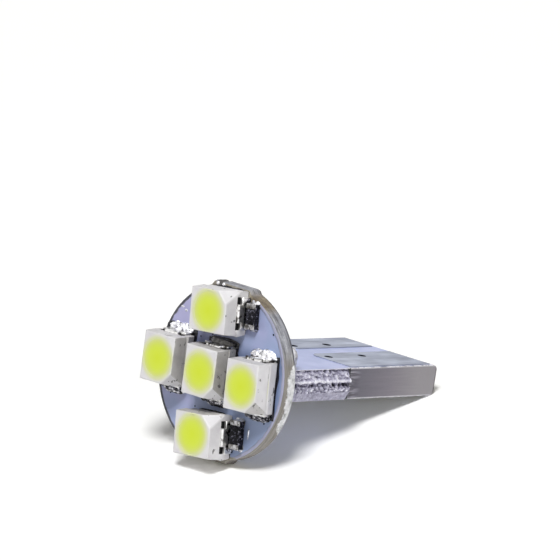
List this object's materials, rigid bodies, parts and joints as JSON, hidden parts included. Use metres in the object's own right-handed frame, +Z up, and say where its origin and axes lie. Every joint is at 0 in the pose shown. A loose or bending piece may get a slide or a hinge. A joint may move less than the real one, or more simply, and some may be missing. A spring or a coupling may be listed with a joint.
{
  "type": "wedge base led bulb",
  "caption": "Wedge base LED bulb: a round board with a cross of surface-mount LEDs, soldered square to a flat board that plugs into the lamp socket.",
  "frame": {"origin": "centre of the bounding box's underside, on the surface that the bulb lies on", "axes": "-Y is the side that the LEDs face, +Y is the wedge's end, +X runs along the row of LEDs, +Z is up; the bulb's own axis falls by 17.6 degrees towards +Y, as it comes to rest"},
  "size_m": [0.011, 0.0184, 0.0112],
  "materials": {
    "led_board_laminate": "pale violet solder mask on glass-epoxy laminate, raw edge",
    "wedge_board_laminate": "pale violet solder mask on glass-epoxy laminate, routed and snapped edges",
    "white_moulding": "satin white moulding",
    "phosphor_silicone": "phosphor-filled silicone, yellow-green, smooth",
    "silvered_lead": "silver-plated copper strip",
    "led_crystal": "polished crystal",
    "gold_wire": "bright drawn wire",
    "tinned_copper": "levelled tin, dull grey",
    "solder": "reflowed solder, bright and lumpy",
    "tinned_cap": "plated tin, satin",
    "resistor_glaze": "black glaze"
  },
  "bodies": {
    "root": {"led_board": "led_board_laminate", "edge_via_plating": "tinned_copper", "wedge_board": "wedge_board_laminate", "left_contact": "tinned_copper", "right_contact": "tinned_copper", "joint_solder_upper_left": "solder", "joint_solder_upper_right": "solder", "joint_solder_lower_left": "solder", "joint_solder_lower_right": "solder", "led_housing_center": "white_moulding", "led_phosphor_center": "phosphor_silicone", "led_anode_center": "silvered_lead", "led_cathode_center": "silvered_lead", "led_chip_center": "led_crystal", "led_bond_wire_center": "gold_wire", "anode_solder_center": "solder", "cathode_solder_center": "solder", "led_housing_left": "white_moulding", "led_phosphor_left": "phosphor_silicone", "led_anode_left": "silvered_lead", "led_cathode_left": "silvered_lead", "led_chip_left": "led_crystal", "led_bond_wire_left": "gold_wire", "anode_solder_left": "solder", "cathode_solder_left": "solder", "led_housing_right": "white_moulding", "led_phosphor_right": "phosphor_silicone", "led_anode_right": "silvered_lead", "led_cathode_right": "silvered_lead", "led_chip_right": "led_crystal", "led_bond_wire_right": "gold_wire", "anode_solder_right": "solder", "cathode_solder_right": "solder", "led_housing_top": "white_moulding", "led_phosphor_top": "phosphor_silicone", "led_anode_top": "silvered_lead", "led_cathode_top": "silvered_lead", "led_chip_top": "led_crystal", "led_bond_wire_top": "gold_wire", "anode_solder_top": "solder", "cathode_solder_top": "solder", "led_housing_bottom": "white_moulding", "led_phosphor_bottom": "phosphor_silicone", "led_anode_bottom": "silvered_lead", "led_cathode_bottom": "silvered_lead", "led_chip_bottom": "led_crystal", "led_bond_wire_bottom": "gold_wire", "anode_solder_bottom": "solder", "cathode_solder_bottom": "solder", "upper_resistor": "resistor_glaze", "upper_resistor_cap_inner": "tinned_cap", "upper_resistor_solder_inner": "solder", "upper_resistor_cap_outer": "tinned_cap", "upper_resistor_solder_outer": "solder", "lower_resistor": "resistor_glaze", "lower_resistor_cap_inner": "tinned_cap", "lower_resistor_solder_inner": "solder", "lower_resistor_cap_outer": "tinned_cap", "lower_resistor_solder_outer": "solder"}
  },
  "joints": []
}
